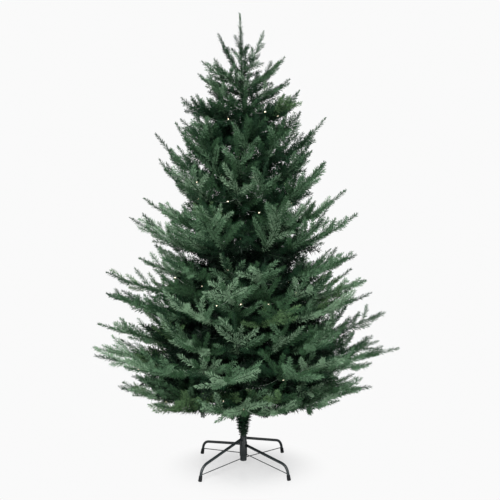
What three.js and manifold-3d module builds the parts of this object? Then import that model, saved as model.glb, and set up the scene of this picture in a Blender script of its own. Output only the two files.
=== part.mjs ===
// An artificial Christmas tree on its folding steel stand, in millimetres with +Z up.
// The origin is on the floor, under the pole. The front of the tree faces -Y.
// The crown is cut into rows of masses. Each mass is a stem that forks into limbs, and each limb
// carries needles and side shoots. A mass keeps to a wedge of its row, so that none overlaps.
import * as THREE from "three";
import { mergeVertices } from "three/addons/utils/BufferGeometryUtils.js";
import Module from "manifold-3d";

const wasm = await Module();
wasm.setup();

// Clearance between pieces that touch
const gap = 0.3;

// Stand: a hub tube with one pair of legs, and a sleeve round it with the other pair
const stand = {
  turn: 47, // azimuth of the first leg, in degrees
  sides: 20,
  hub: { radius: 15.5, bottom: 29, top: 147, floor: 4, chamfer: 2.5 },
  sleeve: { radius: 17.6, bottom: 52, top: 118 },
  // The tube runs out and down to a corner, and round it to the foot
  leg: { radius: 6.35, sides: 8, steps: 15, corner: 268, cornerHeight: 64, footReach: 281, bend: 34, end: 5 },
  brace: { radius: 2, sides: 6, height: 28 },
  cap: { radius: 8.8, height: 25, sides: 10 },
  hubPair: { legHeight: 137, braceHeight: 41 },
  sleevePair: { legHeight: 108, braceHeight: 62 },
};

// Pole: three steel tubes that step down, as [height where it starts, radius]
const poleBottom = stand.hub.bottom + stand.hub.floor + gap;
const pole = { sides: 16, top: 1655, shoulder: 3, steps: [[poleBottom, 12], [790, 11], [1370, 9.5]] };

// Needle wrap round the foot of the pole
const wrap = { sides: 8, bottom: 149, top: 296, rings: 6, wall: 3, shortNeedle: 11, longNeedle: 30 };

// Rows of masses from the bottom up. Each has a low and a high tier of limbs: root is the height
// on the pole that a tier's limbs spread from, tip and reach are the height and radius of their ends.
const rows = [
  { count: 6, turn: 34, seed: 612, bough: true,
    low: { root: 315, tip: 400, reach: 580 }, high: { root: 385, tip: 430, reach: 650 } },
  { count: 6, turn: 8, seed: 18872, bough: true,
    low: { root: 480, tip: 580, reach: 775 }, high: { root: 580, tip: 705, reach: 700 } },
  { count: 5, turn: 48, seed: 24,
    low: { root: 675, tip: 850, reach: 700 }, high: { root: 775, tip: 945, reach: 660 } },
  { count: 4, turn: 78, seed: 1193,
    low: { root: 865, tip: 1005, reach: 560 }, high: { root: 985, tip: 1210, reach: 630 } },
  { count: 4, turn: 138, seed: 380,
    low: { root: 1085, tip: 1275, reach: 500 }, high: { root: 1190, tip: 1445, reach: 515 } },
  { count: 3, turn: 112, seed: 246,
    low: { root: 1290, tip: 1525, reach: 425 }, high: { root: 1390, tip: 1620, reach: 420 } },
  { count: 3, turn: 76, seed: 125,
    low: { root: 1500, tip: 1640, reach: 305 }, high: { root: 1605, tip: 1725, reach: 330 } },
];

// Crown top: the leader, which leans a little towards -X, and whorls of short limbs that leave it
const leader = { top: 2100, radius: 4.5, step: 60, bareAboveWhorls: 0.05, lean: 15 };
const whorls = [
  { count: 4, turn: 5, seed: 68, tier: { root: 1668, tip: 1825, reach: 210 } },
  { count: 4, turn: 10, seed: 192, tier: { root: 1740, tip: 1905, reach: 200 } },
  { count: 3, turn: 32, seed: 62, tier: { root: 1815, tip: 2015, reach: 120 } },
];
// shootReach: how much larger a limb's shoots are than its own reach would give
const whorlLimb = { apart: 14, radius: 3.1, step: 66, bare: 0.25, carried: [4, 8], shootReach: 1.6, even: 0.6 };

// A mass's limbs, as place across the wedge from -0.5 to 0.5, and tier. The first grows on from
// the stem, and the others leave the stem at its fork.
const ways = [
  { across: 0, tier: "high" },
  { across: -0.25, tier: "low" },
  { across: 0.25, tier: "low" },
];

const bough = { radius: 7.5, tipRadius: 5.5, reach: 130, sides: 6 };
const limb = {
  stemRadius: 5.5,
  radius: 4.4,
  tipRadius: 1.5,
  fork: 62, // distance from the pole's axis to the fork of a mass that has no bough
  forkPastBough: 30,
  settle: 0.3, // share of a limb after which it runs straight out at its own azimuth and tier
  flat: 0.35, // share of its rise that is even; the rest curls up towards the tip
  curl: 2.2,
  sway: 5, // degrees
  tipSway: 25,
  reachSpread: 0.17,
  step: 95, // between rings
  bare: 0.4, // share of a limb that has no needles
};
// Side shoots: places along a limb from the first share to the last, of which the solids carry some.
// longest and shortest are lengths at the foot and the tip of a limb, as shares of its tier's reach.
// Angles are in degrees.
const shoot = {
  places: 12, first: 0.3, last: 0.88, carried: [3, 6, 9],
  longest: 0.3, shortest: 0.17,
  wide: 52, narrow: 38, sway: 8, lift: 4, liftSway: 9,
  radius: 3, tipRadius: 1.4, step: 60, bare: 0.15,
  keepOff: 1.7, // needle lengths between a shoot and any other twig
  key: 50, // where the seeds of shoots start, past those of limbs
};
// A needle's length falls from the foot of its twig to the tip. It leans forward by some radians.
const needle = { length: 24, atFoot: 1.1, atTip: 0.8, lean: 0.62, every: 2 };
const needleRoom = needle.length * needle.atFoot * Math.cos(needle.lean); // round the middle of a twig
const twigTip = 6; // length of the point that closes a twig
const sprout = 10; // length of the step in a twig that another twig grows from
const roomSlope = 1.15; // how much more the room between two rows is in height than across

const deg = Math.PI / 180;
const lerp = (a, b, t) => a + (b - a) * t;
const smooth = (t) => t * t * (3 - 2 * t);
const clampUnit = (t) => Math.min(1, Math.max(0, t));

// A seeded stream of numbers from 0 to 1, by a linear congruential rule
function dice(...keys) {
  const span = 2 ** 32;
  let state = 2166136;
  for (const key of keys) state = (state * 69069 + key * 7919 + 12345) % span;
  const roll = () => {
    state = (state * 1664525 + 1013904223) % span;
    return state / span;
  };
  roll();
  roll();
  return roll;
}

// Solids and geometries
function toSolid(geometry) {
  const bare = geometry.clone();
  bare.deleteAttribute("normal");
  bare.deleteAttribute("uv");
  const merged = mergeVertices(bare, 1e-4);
  return new wasm.Manifold(
    new wasm.Mesh({
      numProp: 3,
      vertProperties: new Float32Array(merged.attributes.position.array),
      triVerts: new Uint32Array(merged.index.array),
    }),
  );
}

function toGeometry(solid) {
  const mesh = solid.getMesh();
  const geometry = new THREE.BufferGeometry();
  geometry.setAttribute("position", new THREE.BufferAttribute(mesh.vertProperties, 3));
  geometry.setIndex(new THREE.BufferAttribute(mesh.triVerts, 1));
  geometry.computeVertexNormals();
  return geometry;
}

const model = new THREE.Group();
function addPart(name, geometry, material) {
  const mesh = new THREE.Mesh(geometry, material);
  mesh.name = name;
  model.add(mesh);
}

const paint = (color, roughness, metalness) =>
  new THREE.MeshStandardMaterial({ color, roughness, metalness });
const materials = {
  steel: paint(0x22282b, 0.45, 0.4), // dark green-black enamel on the stand
  rubber: paint(0x1b1e1f, 0.8, 0),
  pole: paint(0x1f3328, 0.5, 0.3),
  wire: paint(0x2c3a2a, 0.7, 0.1),
  needles: paint(0x3f6349, 0.7, 0),
  inner: paint(0x1d3324, 0.8, 0),
};

// Radius of a bore with so many sides that clears a shaft all round by the gap
const boreFor = (radius, sides) => (radius + gap) / Math.cos(Math.PI / sides);

// A turned solid about +Z from a profile of [radius, height] that starts and ends on the axis
// or closes on itself
function turned(profile, sides) {
  const points = profile.map(([radius, height]) => new THREE.Vector2(radius, height));
  return new THREE.LatheGeometry(points, sides).rotateX(Math.PI / 2);
}

const upright = (radius, bottom, top, sides) =>
  turned([[0, bottom], [radius, bottom], [radius, top], [0, top]], sides);

// A round tube along a curve
function tube(curve, radius, sides, steps) {
  const ring = Array.from({ length: sides }, (_, k) => {
    const angle = (2 * Math.PI * k) / sides;
    return new THREE.Vector2(radius * Math.cos(angle), radius * Math.sin(angle));
  });
  return new THREE.ExtrudeGeometry(new THREE.Shape(ring), { extrudePath: curve, steps, bevelEnabled: false });
}

// A skin is a closed mesh in the making: its points, and its faces as triples of their numbers
const newSkin = () => ({ points: [], faces: [] });

function skinGeometry(skin) {
  const geometry = new THREE.BufferGeometry().setFromPoints(skin.points);
  geometry.setIndex(skin.faces.flat());
  geometry.computeVertexNormals();
  return geometry;
}

const middleOf = (skin, numbers) =>
  numbers.reduce((sum, n) => sum.add(skin.points[n]), new THREE.Vector3()).divideScalar(numbers.length);

// The part of a vector that is square to an axis, at length 1
const squareTo = (vector, axis) => vector.clone().addScaledVector(axis, -vector.dot(axis)).normalize();

function faceNormal(skin, face) {
  const [a, b, c] = face.map((n) => skin.points[n]);
  return b.clone().sub(a).cross(c.clone().sub(a)).normalize();
}

function addRing(skin, centre, along, towards, radius, sides) {
  const normal = squareTo(towards, along);
  const side = along.clone().cross(normal);
  return Array.from({ length: sides }, (_, k) => {
    const angle = (2 * Math.PI * k) / sides;
    const point = centre.clone()
      .addScaledVector(normal, radius * Math.cos(angle))
      .addScaledVector(side, radius * Math.sin(angle));
    return skin.points.push(point) - 1;
  });
}

// A ring whose first point is half way round between the first two points of the last one
function addNextRing(skin, ring, centre, along, radius) {
  const edge = skin.points[ring[1]].clone().sub(skin.points[ring[0]]);
  return addRing(skin, centre, along, edge.cross(along), radius, ring.length);
}

// Faces between two rings. The first two points of each are on the same ring, which keeps a twig
// that grows from the face untwisted.
function facesBetween(ring, nextRing) {
  return ring.flatMap((a, k) => {
    const next = (k + 1) % ring.length;
    return [[a, ring[next], nextRing[k]], [nextRing[next], nextRing[k], ring[next]]];
  });
}

function addFan(skin, ring, apex) {
  ring.forEach((a, k) => skin.faces.push([a, ring[(k + 1) % ring.length], apex]));
}

// A needle stands on a face and leans forward along its twig
function addNeedle(skin, face, along, length) {
  const out = squareTo(faceNormal(skin, face), along);
  const tip = middleOf(skin, face)
    .addScaledVector(out, length * Math.cos(needle.lean))
    .addScaledVector(along, length * Math.sin(needle.lean));
  addFan(skin, face, skin.points.push(tip) - 1);
}

const polar = (azimuth, radius, height) =>
  new THREE.Vector3(radius * Math.cos(azimuth * deg), radius * Math.sin(azimuth * deg), height);

// Stand
function makeHub() {
  const { radius, bottom, top, floor, chamfer } = stand.hub;
  const bore = boreFor(pole.steps[0][1], stand.sides);
  const profile = [
    [0, bottom], [radius - chamfer, bottom], [radius, bottom + chamfer], [radius, top],
    [bore, top], [bore, bottom + floor], [0, bottom + floor],
  ];
  addPart("stand_hub", turned(profile, stand.sides), materials.steel);
}

function makeSleeve() {
  const { radius, bottom, top } = stand.sleeve;
  const bore = boreFor(stand.hub.radius, stand.sides);
  const profile = [[bore, bottom], [radius, bottom], [radius, top], [bore, top], [bore, bottom]];
  addPart("stand_sleeve", turned(profile, stand.sides), materials.steel);
}

// The way of a leg: straight out and down from the hub, round the bend and straight to the foot
function legCurve(azimuth, legHeight) {
  const { corner, cornerHeight, footReach, bend, end } = stand.leg;
  const hubPoint = polar(azimuth, 0, legHeight);
  const cornerPoint = polar(azimuth, corner, cornerHeight);
  const footPoint = polar(azimuth, footReach, 0).lerp(cornerPoint, end / cornerHeight);
  const towards = (target) => target.clone().sub(cornerPoint).setLength(bend).add(cornerPoint);
  const curve = new THREE.CurvePath();
  curve.add(new THREE.LineCurve3(hubPoint, towards(hubPoint)));
  curve.add(new THREE.QuadraticBezierCurve3(towards(hubPoint), cornerPoint, towards(footPoint)));
  curve.add(new THREE.LineCurve3(towards(footPoint), footPoint));
  return curve;
}

function makeLeg(name, curve, keepClear) {
  const { leg } = stand;
  const solid = toSolid(tube(curve, leg.radius, leg.sides, leg.steps));
  addPart(`leg_${name}`, toGeometry(solid.subtract(keepClear)), materials.steel);
}

// A thin rod from low on the hub to the lower part of the leg, coped to both
function makeBrace(name, azimuth, pair, splay, curve, keepClear) {
  const { leg, brace } = stand;
  const inner = polar(azimuth, 0, pair.braceHeight);
  const outer = polar(azimuth, leg.footReach - brace.height * Math.tan(splay), brace.height);
  const rod = toSolid(tube(new THREE.LineCurve3(inner, outer), brace.radius, brace.sides, 1));
  const legSpace = toSolid(tube(curve, boreFor(leg.radius, leg.sides), leg.sides, leg.steps));
  addPart(`brace_${name}`, toGeometry(rod.subtract(keepClear).subtract(legSpace)), materials.steel);
}

// A rubber cup on the end of the leg, tilted with it and cut flat at the floor
function makeFootCap(name, azimuth, splay) {
  const { leg, cap } = stand;
  const bore = boreFor(leg.radius, cap.sides);
  const floor = leg.end - gap;
  const low = -2 * leg.end;
  const cup = turned(
    [[0, low], [cap.radius, low], [cap.radius, cap.height], [bore, cap.height], [bore, floor], [0, floor]],
    cap.sides,
  ).rotateY(-splay).translate(leg.footReach, 0, 0).rotateZ(azimuth * deg);
  const underfloor = new THREE.BoxGeometry(1000, 1000, 100).translate(0, 0, -50);
  addPart(`foot_cap_${name}`, toGeometry(toSolid(cup).subtract(toSolid(underfloor))), materials.rubber);
}

function makeLegs() {
  const names = ["back_right", "back_left", "front_left", "front_right"];
  const { leg, hub, sleeve } = stand;
  const splay = Math.atan2(leg.footReach - leg.corner, leg.cornerHeight);
  names.forEach((name, i) => {
    const azimuth = stand.turn + 90 * i;
    const onHub = i % 2 === 0;
    const pair = onHub ? stand.hubPair : stand.sleevePair;
    const barrel = onHub ? hub.radius : sleeve.radius;
    const keepClear = toSolid(upright(barrel + gap, 0, 2 * hub.top, stand.sides));
    const curve = legCurve(azimuth, pair.legHeight);
    makeLeg(name, curve, keepClear);
    makeBrace(name, azimuth, pair, splay, curve, keepClear);
    makeFootCap(name, azimuth, splay);
  });
}

// Pole: a flat cut at the bottom, a step at each joint, a flat top
function makePole() {
  const profile = [[0, poleBottom]];
  pole.steps.forEach(([height, radius], i) => {
    const next = pole.steps[i + 1];
    profile.push([radius, i ? height + pole.shoulder : height], [radius, next ? next[0] : pole.top]);
  });
  profile.push([0, pole.top]);
  addPart("pole", turned(profile, pole.sides), materials.pole);
}

const poleRadius = (height) =>
  pole.steps.filter(([start]) => height >= start).at(-1)[1];

// The wrap is a sleeve of needles round the pole, longer towards the lowest boughs
function makeWrap() {
  const bore = boreFor(pole.steps[0][1], wrap.sides);
  const up = new THREE.Vector3(0, 0, 1);
  const skin = newSkin();
  const foot = new THREE.Vector3(0, 0, wrap.bottom);
  let ring = addRing(skin, foot, up, new THREE.Vector3(1, 0, 0), bore + wrap.wall, wrap.sides);
  addFan(skin, [...ring].reverse(), skin.points.push(foot) - 1);
  for (let i = 1; i < wrap.rings; i++) {
    const share = i / (wrap.rings - 1);
    const centre = new THREE.Vector3(0, 0, lerp(wrap.bottom, wrap.top, share));
    const nextRing = addNextRing(skin, ring, centre, up, bore + wrap.wall);
    facesBetween(ring, nextRing).forEach((face, k) => {
      if (k % needle.every) addNeedle(skin, face, up, lerp(wrap.shortNeedle, wrap.longNeedle, share));
      else skin.faces.push(face);
    });
    ring = nextRing;
  }
  addFan(skin, ring, skin.points.push(new THREE.Vector3(0, 0, wrap.top)) - 1);
  const hole = upright(bore, wrap.bottom - gap, wrap.top + gap, wrap.sides);
  addPart("pole_wrap", toGeometry(toSolid(skinGeometry(skin)).subtract(toSolid(hole))), materials.inner);
}

const stemHeight = (row) => (row.low.root + row.high.root) / 2;
const stemStart = (row) => gap + (row.bough ? bough.reach : poleRadius(stemHeight(row)));
const forkReach = (row) => (row.bough ? bough.reach + limb.forkPastBough : limb.fork);
const massAzimuth = (row, mass) => row.turn + (360 / row.count) * mass;

// Share of a limb's rise at a share of its length: first nearly flat, then curling up
const curlUp = (share) => limb.flat * share + (1 - limb.flat) * Math.max(share, 0) ** limb.curl;
// A whorl's limbs climb from the start
const climb = (share) => whorlLimb.even * share + (1 - whorlLimb.even) * share * share;

// The height of a tier of limbs at a radius
function tierHeight(row, name, radius) {
  const tier = row[name];
  const share = Math.max(0, (radius - forkReach(row)) / (tier.reach - forkReach(row)));
  return lerp(tier.root, tier.tip, curlUp(share));
}

const whorlHeight = ({ tier }, radius) => lerp(tier.root, tier.tip, climb(radius / tier.reach));

// The surface halfway between a row of masses and the one below it, at a radius
function rowFloor(index, radius) {
  if (index === 0) return -Infinity;
  const low = index < rows.length ? tierHeight(rows[index], "low", radius) : whorlHeight(whorls[0], radius);
  return (tierHeight(rows[index - 1], "high", radius) + low) / 2;
}

// A limb's own azimuth, reach and tip height, which differ a little from its tier's
function swayed(tier, azimuth, roll) {
  const swayedAzimuth = azimuth + limb.sway * (2 * roll() - 1);
  const share = 1 - limb.reachSpread * roll();
  const tip = lerp(tier.root, tier.tip, share) + limb.tipSway * (2 * roll() - 1);
  return { azimuth: swayedAzimuth, reach: tier.reach * share, tip };
}

// A limb from the fork at share 0 to its tip at share 1. Shares below 0 are on the stem.
function limbPath(row, mass, way) {
  const tier = row[ways[way].tier];
  const centre = massAzimuth(row, mass);
  const own = swayed(tier, centre + (360 / row.count) * ways[way].across, dice(row.seed, mass, way));
  const path = (share) => {
    const settled = smooth(clampUnit(share / limb.settle));
    const foot = lerp(stemHeight(row), tier.root, settled);
    const rise = (own.tip - tier.root) * curlUp(Math.max(share, 0));
    return polar(lerp(centre, own.azimuth, settled), lerp(forkReach(row), own.reach, share), foot + rise);
  };
  return { path, reach: own.reach };
}

const directionAt = (path, share) => path(share + 0.01).sub(path(share - 0.01)).normalize();

// A side shoot leaves its limb forward and to one side, a little upwards
function shootTwig(path, keys, place, reach) {
  const share = lerp(shoot.first, shoot.last, place / (shoot.places - 1));
  const roll = dice(...keys, shoot.key + place);
  const along = directionAt(path, share);
  const side = along.clone().cross(new THREE.Vector3(0, 0, 1)).normalize();
  const rise = side.clone().cross(along);
  const hand = place % 2 ? 1 : -1;
  const spread = (lerp(shoot.wide, shoot.narrow, share) + shoot.sway * (2 * roll() - 1)) * deg * hand;
  const lift = (shoot.lift + shoot.liftSway * roll()) * deg;
  const direction = along.clone().multiplyScalar(Math.cos(spread))
    .addScaledVector(side, Math.sin(spread))
    .addScaledVector(rise, Math.sin(lift))
    .normalize();
  const root = path(share);
  const length = reach * lerp(shoot.longest, shoot.shortest, share);
  return {
    path: (t) => root.clone().addScaledVector(direction, length * t),
    length, radius: shoot.radius, tipRadius: shoot.tipRadius, step: shoot.step, bare: shoot.bare,
    sprouts: [], rootShare: share,
  };
}

// True where a twig and its needles keep to their space
function staysInside(twig, inside) {
  return [0.25, 0.5, 0.75, 1].every((share) => inside(twig.path(share), needleRoom));
}

// True where the outer part of a twig keeps its needles off another twig
function clearOf(twig, other) {
  const shares = [0.3, 0.45, 0.6, 0.75, 0.9, 1];
  const samples = 24;
  const places = Array.from({ length: samples + 1 }, (_, i) => other.path(i / samples));
  const room = needle.length * shoot.keepOff;
  return shares.every((share) => places.every((p) => p.distanceTo(twig.path(share)) > room));
}

// The wedge of a row between the surfaces above and below it, as a test of a point with room round it
function wedgeSpace(row, index, mass) {
  const centre = massAzimuth(row, mass) * deg;
  const half = Math.PI / row.count;
  return (p, room) => {
    const radius = Math.hypot(p.x, p.y);
    const turn = Math.atan2(p.y, p.x) - centre;
    const off = Math.abs(Math.atan2(Math.sin(turn), Math.cos(turn)));
    const toSide = radius * Math.sin(Math.min(half - off, Math.PI / 2));
    const toFloor = (p.z - rowFloor(index, radius)) / roomSlope;
    const toCeiling = (rowFloor(index + 1, radius) - p.z) / roomSlope;
    return Math.min(toSide, toFloor, toCeiling) > room + gap;
  };
}

// Shares of a twig where its rings stand: a short step at each sprout and longer ones between
function ringShares(twig) {
  const half = sprout / 2 / twig.length;
  const shares = [];
  let from = 0;
  const fill = (to) => {
    const count = Math.max(1, Math.round(((to - from) * twig.length) / twig.step));
    for (let i = 1; i <= count; i++) shares.push(lerp(from, to, i / count));
  };
  for (const share of new Set(twig.sprouts.map((other) => other.rootShare))) {
    fill(share - half);
    from = share + half;
    shares.push(from);
  }
  fill(1);
  return shares;
}

// The way that another twig leaves this one, and the face that looks most that way
const wayOf = (twig, centre, along) => squareTo(twig.path(0.3).sub(centre), along);
function faceTowards(skin, faces, way) {
  const towards = (face) => faceNormal(skin, face).dot(way);
  return faces.reduce((best, face) => (towards(face) > towards(best) ? face : best));
}

// A three-sided twig grows from a base of three points. Its sprouts grow from the faces that look
// their way. Outside its bare stretch every other face carries a needle, but not beside a sprout.
function growTwig(skin, base, twig) {
  let ring = base;
  let last = 0;
  let lastWays = [];
  ringShares(twig).forEach((share, i) => {
    const centre = twig.path(share);
    const along = directionAt(twig.path, share);
    const nextRing = addNextRing(skin, ring, centre, along, lerp(twig.radius, twig.tipRadius, share));
    const faces = facesBetween(ring, nextRing);
    const sprouts = twig.sprouts.filter(({ rootShare }) => rootShare > last && rootShare < share);
    const leaving = sprouts.map((other) => wayOf(other, centre, along));
    const growing = new Map(sprouts.map((other, n) => [faceTowards(skin, faces, leaving[n]), other]));
    const besideSprout = (face) => lastWays.some((way) => faceNormal(skin, face).dot(way) > 0.2);
    faces.forEach((face, k) => {
      const mayHaveNeedle = share > twig.bare && !sprouts.length && (k + i) % needle.every;
      if (growing.has(face)) growTwig(skin, face, growing.get(face));
      else if (mayHaveNeedle && !besideSprout(face)) {
        addNeedle(skin, face, along, needle.length * lerp(needle.atFoot, needle.atTip, share));
      } else skin.faces.push(face);
    });
    ring = nextRing;
    last = share;
    lastWays = leaving;
  });
  const tip = twig.path(1).addScaledVector(directionAt(twig.path, 1), twigTip);
  addFan(skin, ring, skin.points.push(tip) - 1);
}

// A whole mass grows from the flat end of its stem, which is level or upright
function grownMass(stem) {
  const skin = newSkin();
  const towards = new THREE.Vector3(0, 0.1, 1);
  const base = addRing(skin, stem.path(0), directionAt(stem.path, 0), towards, stem.radius, 3);
  skin.faces.push([...base].reverse());
  growTwig(skin, base, stem);
  return skinGeometry(skin);
}

function limbTwig(row, mass, way) {
  const { path, reach } = limbPath(row, mass, way);
  return {
    path, length: reach - forkReach(row), radius: limb.radius, tipRadius: limb.tipRadius,
    step: limb.step, bare: limb.bare, sprouts: [], rootShare: 0,
    keys: [row.seed, mass, way], tierReach: row[ways[way].tier].reach, places: shoot.carried,
  };
}

// Gives each limb its shoots, without those that would leave the space or touch another twig
function addShoots(limbs, inside) {
  const grown = [...limbs];
  for (const twig of limbs) {
    for (const place of twig.places) {
      const side = shootTwig(twig.path, twig.keys, place, twig.tierReach);
      const others = grown.filter((other) => other !== twig);
      if (!staysInside(side, inside) || !others.every((other) => clearOf(side, other))) continue;
      twig.sprouts.push(side);
      grown.push(side);
    }
  }
}

// The same twig with its first share moved back along its path, as a stem that the rest sprout from
function withStem(twig, start, radius, others) {
  const whole = 1 - start;
  const moved = (share) => (share - start) / whole;
  return {
    ...twig,
    path: (share) => twig.path(lerp(start, 1, share)),
    length: twig.length * whole,
    radius,
    bare: moved(twig.bare),
    sprouts: [
      ...others.map((other) => ({ ...other, rootShare: moved(0) })),
      ...twig.sprouts.map((other) => ({ ...other, rootShare: moved(other.rootShare) })),
    ],
  };
}

function makeRow(row, index) {
  for (let mass = 0; mass < row.count; mass++) {
    const name = `${index + 1}_${mass + 1}`;
    if (row.bough) makeBough(name, row, mass);
    const inside = wedgeSpace(row, index, mass);
    const limbs = ways.map((_, way) => limbTwig(row, mass, way)).filter((twig) => staysInside(twig, inside));
    addShoots(limbs, inside);
    const [main, ...others] = limbs;
    const start = (stemStart(row) - forkReach(row)) / main.length;
    const stem = withStem(main, start, limb.stemRadius, others);
    addPart(`mass_${name}`, grownMass(stem), materials.needles);
  }
}

// A bough is the bare foot of a branch, from the pole to the stem of its mass
function makeBough(name, row, mass) {
  const start = poleRadius(stemHeight(row)) + gap;
  const geometry = new THREE.CylinderGeometry(bough.tipRadius, bough.radius, bough.reach - start, bough.sides)
    .translate(0, (bough.reach + start) / 2, 0)
    .rotateZ((massAzimuth(row, mass) - 90) * deg)
    .translate(0, 0, stemHeight(row));
  addPart(`bough_${name}`, geometry, materials.wire);
}

// A limb of a whorl climbs steeply from the leader. Each starts a little above the one before.
function whorlTwig(whorl, mass) {
  const { tier, seed } = whorl;
  const own = swayed(tier, whorl.turn + (360 / whorl.count) * mass, dice(seed, mass));
  const root = tier.root + whorlLimb.apart * mass;
  const foot = new THREE.Vector3(leaderX(root), 0, 0);
  const path = (share) =>
    polar(own.azimuth, own.reach * share, lerp(root, own.tip, climb(share))).add(foot);
  return {
    path, length: Math.hypot(own.reach, own.tip - root), radius: whorlLimb.radius, tipRadius: limb.tipRadius,
    step: whorlLimb.step, bare: whorlLimb.bare, sprouts: [],
    rootShare: (root - leaderFoot) / (leaderTop - leaderFoot),
    keys: [seed, mass], tierReach: tier.reach * whorlLimb.shootReach, places: whorlLimb.carried,
  };
}

const leaderFoot = pole.top + gap;
const leaderTop = leader.top - twigTip;
// How far to the side the leader stands at a height
const leaderX = (height) => (-leader.lean * (height - leaderFoot)) / (leaderTop - leaderFoot);

function makeTop() {
  const inside = (p, room) => p.z > rowFloor(rows.length, Math.hypot(p.x, p.y)) + room + gap;
  const sprouts = whorls.flatMap((whorl) =>
    Array.from({ length: whorl.count }, (_, mass) => whorlTwig(whorl, mass)));
  addShoots(sprouts, inside);
  const path = (share) => {
    const height = lerp(leaderFoot, leaderTop, share);
    return new THREE.Vector3(leaderX(height), 0, height);
  };
  const leaderTwig = {
    path,
    length: leaderTop - leaderFoot, radius: leader.radius, tipRadius: limb.tipRadius,
    step: leader.step, bare: sprouts.at(-1).rootShare + leader.bareAboveWhorls, sprouts, rootShare: 0,
  };
  addPart("mass_top", grownMass(leaderTwig), materials.needles);
}

makeHub();
makeSleeve();
makeLegs();
makePole();
makeWrap();
rows.forEach(makeRow);
makeTop();

export default model;
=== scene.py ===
# An artificial Christmas tree on its steel cross stand, with a string of small lights.
# Sizes are in metres and angles in degrees. The pole stands on the origin and the front faces -Y.
import math

import bpy
from mathutils import Matrix, Vector


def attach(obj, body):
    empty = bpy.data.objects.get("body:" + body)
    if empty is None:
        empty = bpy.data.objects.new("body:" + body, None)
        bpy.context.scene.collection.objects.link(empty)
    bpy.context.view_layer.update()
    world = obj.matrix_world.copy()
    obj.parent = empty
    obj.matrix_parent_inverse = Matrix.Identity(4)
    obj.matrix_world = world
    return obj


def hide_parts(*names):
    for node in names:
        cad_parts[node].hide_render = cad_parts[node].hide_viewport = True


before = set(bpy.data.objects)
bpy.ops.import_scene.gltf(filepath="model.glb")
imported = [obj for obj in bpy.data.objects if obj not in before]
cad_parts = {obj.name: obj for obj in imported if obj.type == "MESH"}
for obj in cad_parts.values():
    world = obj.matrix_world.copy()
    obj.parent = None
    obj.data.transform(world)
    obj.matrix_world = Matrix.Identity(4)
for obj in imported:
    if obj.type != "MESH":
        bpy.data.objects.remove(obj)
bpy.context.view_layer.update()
print("frame loaded")

deg = math.pi / 180
up = Vector((0, 0, 1))


def lerp(a, b, share):
    return a + (b - a) * share


def smooth(share):
    share = min(1, max(0, share))
    return share * share * (3 - 2 * share)


def blend(a, b, share, start, width):
    # from a to b, smoothly, over the stretch of the share that begins at start
    return lerp(a, b, smooth((share - start) / width))


def polar(azimuth, radius, height):
    return Vector((radius * math.cos(azimuth * deg), radius * math.sin(azimuth * deg), height))


def dice(*keys):  # a seeded stream of numbers from 0 to 1
    span = 2**32
    state = 2166136
    for key in keys:
        state = (state * 69069 + key * 7919 + 12345) % span

    def roll():
        nonlocal state
        state = (state * 1664525 + 1013904223) % span
        return state / span

    roll()
    roll()
    return roll


def draw(span, roll):
    return lerp(*span, roll())


def sway(most, roll):
    return most * (2 * roll() - 1)


# Nodes
def plug(tree, socket, value):
    # the value is a plain one, a socket, or a node, which stands for its first output
    if isinstance(value, bpy.types.Node):
        value = value.outputs[0]
    if isinstance(value, bpy.types.NodeSocket):
        tree.links.new(value, socket)
    else:
        socket.default_value = value


def feed(tree, node, **values):
    # joins sockets and sets plain values by the input's name, with _ for a space
    for key, value in values.items():
        plug(tree, next(s for s in node.inputs if s.name == key.replace("_", " ") and s.enabled), value)
    return node


def addNode(tree, kind, settings=None, **values):
    node = tree.nodes.new(kind)
    for key, value in (settings or {}).items():
        setattr(node, key, value)
    return feed(tree, node, **values)


def addMath(tree, operation, a, b):
    node = addNode(tree, "ShaderNodeMath", {"operation": operation})
    plug(tree, node.inputs[0], a)
    plug(tree, node.inputs[1], b)
    return node


def product(tree, first, *others):
    for other in others:
        first = addMath(tree, "MULTIPLY", first, other)
    return first


def addFade(tree, value, start, end, low, high):
    return addNode(tree, "ShaderNodeMapRange", {"interpolation_type": "SMOOTHSTEP"},
                   Value=value, From_Min=start, From_Max=end, To_Min=low, To_Max=high)


# Materials
def startMaterial(name):
    material = bpy.data.materials.new(name)
    material.use_nodes = True
    return material, material.node_tree, material.node_tree.nodes["Principled BSDF"]


def scaled(tone, share):
    return tuple(c * share for c in tone)


# Finishes: size of the speckle and of the grain, and how the tone and the roughness wander
finishes = {
    "plastic": {"speckle": 90, "specular": 0.22},
    "enamel": {"speckle": 14, "darker": 0.85, "lighter": 1.25, "grain": 420, "grainDepth": 0.0004,
               "smoother": 0.06, "rougher": 0.1, "specular": 0.6},
    "bulb": {"speckle": 300, "paler": (1.0, 0.93, 0.8), "glow": (1.0, 0.86, 0.62, 1),
             "strength": 3.5, "roughness": 0.15},
}


def addSpeckle(tree, shader, low, high, scale):
    # colour that wanders between two near tones over the object
    place = addNode(tree, "ShaderNodeTexCoord").outputs["Object"]
    noise = addNode(tree, "ShaderNodeTexNoise", Vector=place, Scale=scale, Detail=3.0).outputs["Fac"]
    tones = addNode(tree, "ShaderNodeValToRGB", Fac=noise)
    for stop, position, tone in zip(tones.color_ramp.elements, (0.35, 0.65), (low, high)):
        stop.position = position
        stop.color = (*tone, 1)
    feed(tree, shader, Base_Color=tones.outputs["Color"])
    return place, noise


def addBump(tree, shader, place, scale, depth):
    grain = addNode(tree, "ShaderNodeTexNoise", Vector=place, Scale=scale, Detail=2.0).outputs["Fac"]
    bump = addNode(tree, "ShaderNodeBump", Strength=0.5, Distance=depth, Height=grain)
    feed(tree, shader, Normal=bump.outputs["Normal"])


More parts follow.
